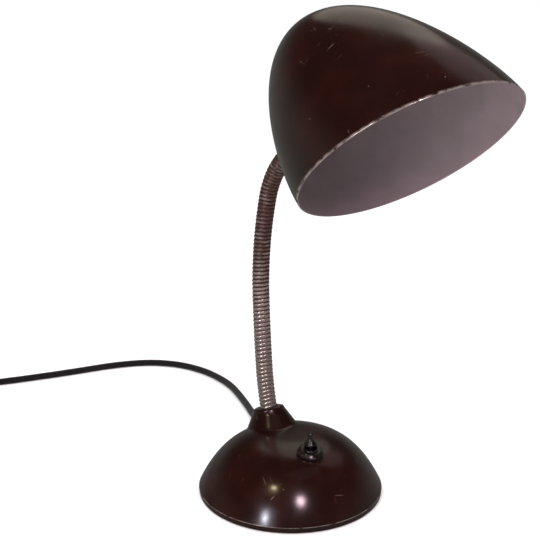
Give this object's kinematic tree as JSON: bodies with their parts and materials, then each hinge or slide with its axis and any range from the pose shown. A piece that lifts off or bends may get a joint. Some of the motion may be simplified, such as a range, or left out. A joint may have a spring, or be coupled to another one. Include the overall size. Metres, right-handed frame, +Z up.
{
  "type": "gooseneck desk lamp",
  "caption": "Desk lamp with a domed round base, toggle switch, bendable spiral neck, oblique dome shade with a small round bulb, and a textile mains cord with plug.",
  "frame": {"origin": "middle of the underside of the felt pad, on the table", "axes": "+Z up, -Y the front of the base, where the switch is; the collar of the neck and the cord are at the back, +Y; the collar, neck and head are turned 13 degrees towards +X about a line that leans back 10 degrees"},
  "size_m": [0.4005, 0.5087, 0.389],
  "materials": {
    "brown_lacquer": "semi-gloss stoved lacquer outside, off-white paint inside the shade",
    "neck_steel": "brown painted spiral steel hose, crowns worn bright",
    "cast_iron": "rough sand-cast",
    "zinc_steel": "zinc plated",
    "brown_steel": "painted steel",
    "nickel_brass": "nickel plated brass",
    "brass": "bare brass",
    "black_bakelite": "polished bakelite",
    "porcelain": "glazed",
    "fibre": "vulcanised fibre",
    "felt": "wool felt",
    "black_rubber": "matt moulded rubber",
    "textile_cord": "braided textile over rubber",
    "tie": "strap",
    "bulb_glass": "frosted",
    "filament": "tungsten on nickel supports"
  },
  "bodies": {
    "base": {"base_shell": "brown_lacquer", "base_plate": "zinc_steel", "felt_pad": "felt", "plate_screws": "zinc_steel", "base_ballast": "cast_iron", "neck_washer": "zinc_steel", "neck_locknut": "zinc_steel", "neck_lower_ferrule": "brown_steel", "neck_segment_01": "neck_steel", "switch_bushing": "black_bakelite", "switch_pivot_pin": "zinc_steel", "switch_ring_nut": "black_bakelite", "switch_body": "black_bakelite", "rocker_pin": "zinc_steel", "switch_base": "black_bakelite", "switch_contacts": "nickel_brass", "cord_bushing": "black_rubber", "cord_entry": "textile_cord", "cord_clamp": "black_bakelite", "clamp_screws": "zinc_steel", "terminal_block": "porcelain", "terminal_screws": "zinc_steel", "mains_cord": "textile_cord", "mains_cord_coil": "textile_cord", "mains_cord_tail": "textile_cord", "cord_tie": "tie", "plug_body": "black_bakelite", "plug_pins": "nickel_brass", "plug_screw": "zinc_steel"},
    "neck_link_02": {"neck_segment_02": "neck_steel"},
    "neck_link_03": {"neck_segment_03": "neck_steel"},
    "neck_link_04": {"neck_segment_04": "neck_steel"},
    "neck_link_05": {"neck_segment_05": "neck_steel"},
    "neck_link_06": {"neck_segment_06": "neck_steel"},
    "neck_link_07": {"neck_segment_07": "neck_steel"},
    "neck_link_08": {"neck_segment_08": "neck_steel"},
    "neck_link_09": {"neck_segment_09": "neck_steel"},
    "neck_link_10": {"neck_segment_10": "neck_steel"},
    "neck_link_11": {"neck_segment_11": "neck_steel"},
    "head": {"neck_segment_12": "neck_steel", "neck_upper_ferrule": "brown_steel", "shade": "brown_lacquer", "seat_washer": "fibre", "inner_washer": "zinc_steel", "head_locknut": "zinc_steel", "head_nipple": "nickel_brass", "holder_cap": "black_bakelite", "holder_insert": "porcelain", "holder_terminals": "brass", "holder_screw_shell": "brass", "holder_centre_contact": "brass", "holder_shell": "black_bakelite", "bulb_cap": "brass", "bulb_contact": "brass", "bulb_glass": "bulb_glass", "bulb_filament": "filament"},
    "lever": {"switch_lever": "black_bakelite"},
    "rocker": {"switch_rocker": "black_bakelite"}
  },
  "joints": [
    {"name": "neck_bend_01", "type": "hinge", "parent": "base", "child": "neck_link_02", "pos_m": [-0.00093, 0.04462, 0.07725], "axis": [0.9744, 0.2215, -0.0391], "range_deg": [-9, 9]},
    {"name": "neck_side_02", "type": "hinge", "parent": "neck_link_02", "child": "neck_link_03", "pos_m": [-0.00092, 0.0481, 0.09725], "axis": [-0.2249, 0.9643, -0.1398], "range_deg": [-9, 9]},
    {"name": "neck_bend_03", "type": "hinge", "parent": "neck_link_03", "child": "neck_link_04", "pos_m": [-0.00074, 0.05085, 0.11736], "axis": [0.9744, 0.2215, -0.0391], "range_deg": [-9, 9]},
    {"name": "neck_side_04", "type": "hinge", "parent": "neck_link_04", "child": "neck_link_05", "pos_m": [-0.00047, 0.05322, 0.13752], "axis": [-0.2244, 0.9692, -0.1011], "range_deg": [-9, 9]},
    {"name": "neck_bend_05", "type": "hinge", "parent": "neck_link_05", "child": "neck_link_06", "pos_m": [-0.0001, 0.05515, 0.15772], "axis": [0.9744, 0.2215, -0.0391], "range_deg": [-9, 9]},
    {"name": "neck_side_06", "type": "hinge", "parent": "neck_link_06", "child": "neck_link_07", "pos_m": [0.00054, 0.05591, 0.17799], "axis": [-0.2214, 0.9752, 0.0065], "range_deg": [-9, 9]},
    {"name": "neck_bend_07", "type": "hinge", "parent": "neck_link_07", "child": "neck_link_08", "pos_m": [0.0015, 0.05524, 0.19826], "axis": [0.9744, 0.2215, -0.0391], "range_deg": [-9, 9]},
    {"name": "neck_side_08", "type": "hinge", "parent": "neck_link_08", "child": "neck_link_09", "pos_m": [0.00278, 0.05316, 0.2184], "axis": [-0.2135, 0.9655, 0.1492], "range_deg": [-9, 9]},
    {"name": "neck_bend_09", "type": "hinge", "parent": "neck_link_09", "child": "neck_link_10", "pos_m": [0.00438, 0.04964, 0.23833], "axis": [0.9744, 0.2215, -0.0391], "range_deg": [-9, 9]},
    {"name": "neck_side_10", "type": "hinge", "parent": "neck_link_10", "child": "neck_link_11", "pos_m": [0.00689, 0.04187, 0.25682], "axis": [-0.1655, 0.8237, 0.5424], "range_deg": [-9, 9]},
    {"name": "neck_bend_11", "type": "hinge", "parent": "neck_link_11", "child": "head", "pos_m": [0.01042, 0.02901, 0.27205], "axis": [0.9744, 0.2215, -0.0391], "range_deg": [-9, 9]},
    {"name": "switch_toggle", "type": "hinge", "parent": "base", "child": "lever", "pos_m": [0, -0.03451, 0.04707], "axis": [1, 0, 0], "range_deg": [0, 28]},
    {"name": "switch_rocker_tilt", "type": "hinge", "parent": "base", "child": "rocker", "pos_m": [0, -0.02919, 0.02675], "axis": [1, 0, 0], "range_deg": [-40.88, 0]}
  ],
  "couplings": [
    {"joint": "neck_bend_03", "follows": "neck_bend_01", "ratio": 1},
    {"joint": "neck_bend_05", "follows": "neck_bend_01", "ratio": 1},
    {"joint": "neck_bend_09", "follows": "neck_bend_07", "ratio": 1},
    {"joint": "neck_bend_11", "follows": "neck_bend_07", "ratio": 1},
    {"joint": "neck_side_04", "follows": "neck_side_02", "ratio": 1},
    {"joint": "neck_side_06", "follows": "neck_side_02", "ratio": 1},
    {"joint": "neck_side_08", "follows": "neck_side_02", "ratio": 1},
    {"joint": "neck_side_10", "follows": "neck_side_02", "ratio": 1},
    {"joint": "switch_rocker_tilt", "follows": "switch_toggle", "ratio": -1.46}
  ]
}
